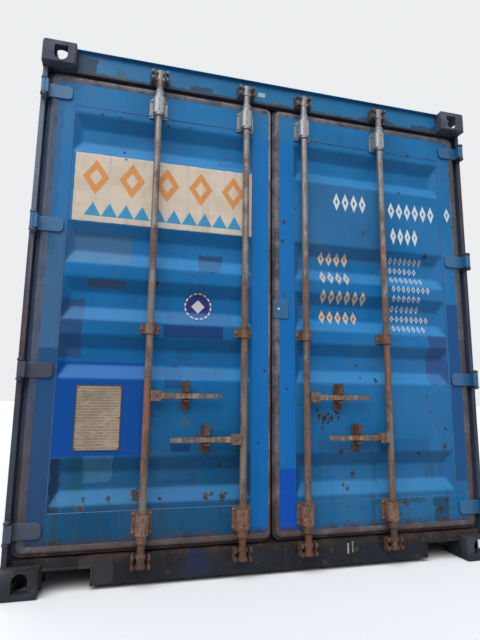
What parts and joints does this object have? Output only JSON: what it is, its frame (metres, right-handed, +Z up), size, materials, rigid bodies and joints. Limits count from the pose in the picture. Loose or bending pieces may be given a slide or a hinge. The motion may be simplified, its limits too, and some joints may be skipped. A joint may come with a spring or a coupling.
{
  "type": "twenty foot shipping container",
  "caption": "Corrugated steel freight container with corner castings, two hinged doors with locking bars and handles, fork pockets and a boarded floor.",
  "frame": {"origin": "centre of the footprint, on the plane of the bottom castings", "axes": "+Z up, +Y along the length from the doors to the front wall, +X to the right of someone facing the doors"},
  "size_m": [2.438, 6.058, 2.591],
  "materials": {
    "casting_steel": "weathered paint over cast steel",
    "post_paint": "worn slate blue paint with rust",
    "sill_paint": "dirty dark paint with rust",
    "underframe_paint": "matt black coating",
    "floor_boards": "worn plywood",
    "wall_paint": "weathered blue paint",
    "door_paint": "weathered blue paint with repaired patches and rust spots",
    "gasket_rubber": "dirty matt rubber",
    "hinge_paint": "weathered blue paint",
    "bar_steel": "galvanised tube with rust",
    "bracket_steel": "galvanised forging with rust",
    "handle_steel": "galvanised forging, rusty",
    "plate_metal": "dull weathered plate"
  },
  "bodies": {
    "frame": {"top_corner_castings": "casting_steel", "bottom_corner_castings": "casting_steel", "left_door_post": "post_paint", "right_door_post": "post_paint", "front_posts": "wall_paint", "door_header": "wall_paint", "rain_gutter": "wall_paint", "door_sill": "sill_paint", "front_header": "wall_paint", "front_sill": "sill_paint", "top_side_rails": "wall_paint", "left_bottom_rail": "sill_paint", "right_bottom_rail": "sill_paint", "cross_members": "underframe_paint", "fork_pockets": "underframe_paint", "floor": "floor_boards", "left_side_wall": "wall_paint", "right_side_wall": "wall_paint", "front_wall": "wall_paint", "roof": "wall_paint", "roof_corner_plates": "wall_paint", "vents": "wall_paint", "hinge_lugs": "post_paint", "cam_keepers": "bracket_steel"},
    "left_door": {"left_door_frame": "door_paint", "left_door_panel": "door_paint", "left_door_gasket": "gasket_rubber", "left_hinge_blades": "hinge_paint", "left_bar_guides": "bracket_steel", "left_handle_retainers": "handle_steel", "data_plate": "plate_metal"},
    "right_door": {"right_door_frame": "door_paint", "right_door_panel": "door_paint", "right_door_gasket": "gasket_rubber", "right_hinge_blades": "hinge_paint", "right_bar_guides": "bracket_steel", "right_handle_retainers": "handle_steel", "overlap_plate": "hinge_paint"},
    "left_outer_lock": {"left_outer_bar": "bar_steel"},
    "left_outer_lever": {"left_outer_handle": "handle_steel"},
    "left_outer_hasp": {"left_outer_catch": "handle_steel"},
    "left_inner_lock": {"left_inner_bar": "bar_steel"},
    "left_inner_lever": {"left_inner_handle": "handle_steel"},
    "left_inner_hasp": {"left_inner_catch": "handle_steel"},
    "right_inner_lock": {"right_inner_bar": "bar_steel"},
    "right_inner_lever": {"right_inner_handle": "handle_steel"},
    "right_inner_hasp": {"right_inner_catch": "handle_steel"},
    "right_outer_lock": {"right_outer_bar": "bar_steel"},
    "right_outer_lever": {"right_outer_handle": "handle_steel"},
    "right_outer_hasp": {"right_outer_catch": "handle_steel"}
  },
  "joints": [
    {"name": "left_door_swing", "type": "hinge", "parent": "frame", "child": "left_door", "pos_m": [-1.199, -3.005, 1.302], "axis": [0, 0, -1], "range_deg": [0, 265]},
    {"name": "right_door_swing", "type": "hinge", "parent": "frame", "child": "right_door", "pos_m": [1.199, -3.005, 1.302], "axis": [0, 0, 1], "range_deg": [0, 265]},
    {"name": "left_outer_bar_turn", "type": "hinge", "parent": "left_door", "child": "left_outer_lock", "pos_m": [-0.638, -3.004, 0.845], "axis": [0, 0, 1], "range_deg": [-120, 0]},
    {"name": "left_inner_bar_turn", "type": "hinge", "parent": "left_door", "child": "left_inner_lock", "pos_m": [-0.167, -3.004, 0.64], "axis": [0, 0, -1], "range_deg": [-120, 0]},
    {"name": "right_inner_bar_turn", "type": "hinge", "parent": "right_door", "child": "right_inner_lock", "pos_m": [0.167, -3.004, 0.845], "axis": [0, 0, 1], "range_deg": [-120, 0]},
    {"name": "right_outer_bar_turn", "type": "hinge", "parent": "right_door", "child": "right_outer_lock", "pos_m": [0.638, -3.004, 0.64], "axis": [0, 0, -1], "range_deg": [-120, 0]},
    {"name": "left_outer_handle_lift", "type": "hinge", "parent": "left_outer_lock", "child": "left_outer_lever", "pos_m": [-0.597, -3.014, 0.845], "axis": [0, 1, 0], "range_deg": [-12, 0]},
    {"name": "left_inner_handle_lift", "type": "hinge", "parent": "left_inner_lock", "child": "left_inner_lever", "pos_m": [-0.208, -3.014, 0.64], "axis": [0, -1, 0], "range_deg": [-12, 0]},
    {"name": "right_inner_handle_lift", "type": "hinge", "parent": "right_inner_lock", "child": "right_inner_lever", "pos_m": [0.208, -3.014, 0.845], "axis": [0, 1, 0], "range_deg": [-12, 0]},
    {"name": "right_outer_handle_lift", "type": "hinge", "parent": "right_outer_lock", "child": "right_outer_lever", "pos_m": [0.597, -3.014, 0.64], "axis": [0, -1, 0], "range_deg": [-12, 0]},
    {"name": "left_outer_catch_swing", "type": "hinge", "parent": "left_door", "child": "left_outer_hasp", "pos_m": [-0.453, -3.026, 0.905], "axis": [0, 1, 0], "range_deg": [-90, 0]},
    {"name": "left_inner_catch_swing", "type": "hinge", "parent": "left_door", "child": "left_inner_hasp", "pos_m": [-0.352, -3.026, 0.7], "axis": [0, -1, 0], "range_deg": [-90, 0]},
    {"name": "right_inner_catch_swing", "type": "hinge", "parent": "right_door", "child": "right_inner_hasp", "pos_m": [0.352, -3.026, 0.905], "axis": [0, 1, 0], "range_deg": [-90, 0]},
    {"name": "right_outer_catch_swing", "type": "hinge", "parent": "right_door", "child": "right_outer_hasp", "pos_m": [0.453, -3.026, 0.7], "axis": [0, -1, 0], "range_deg": [-90, 0]}
  ]
}
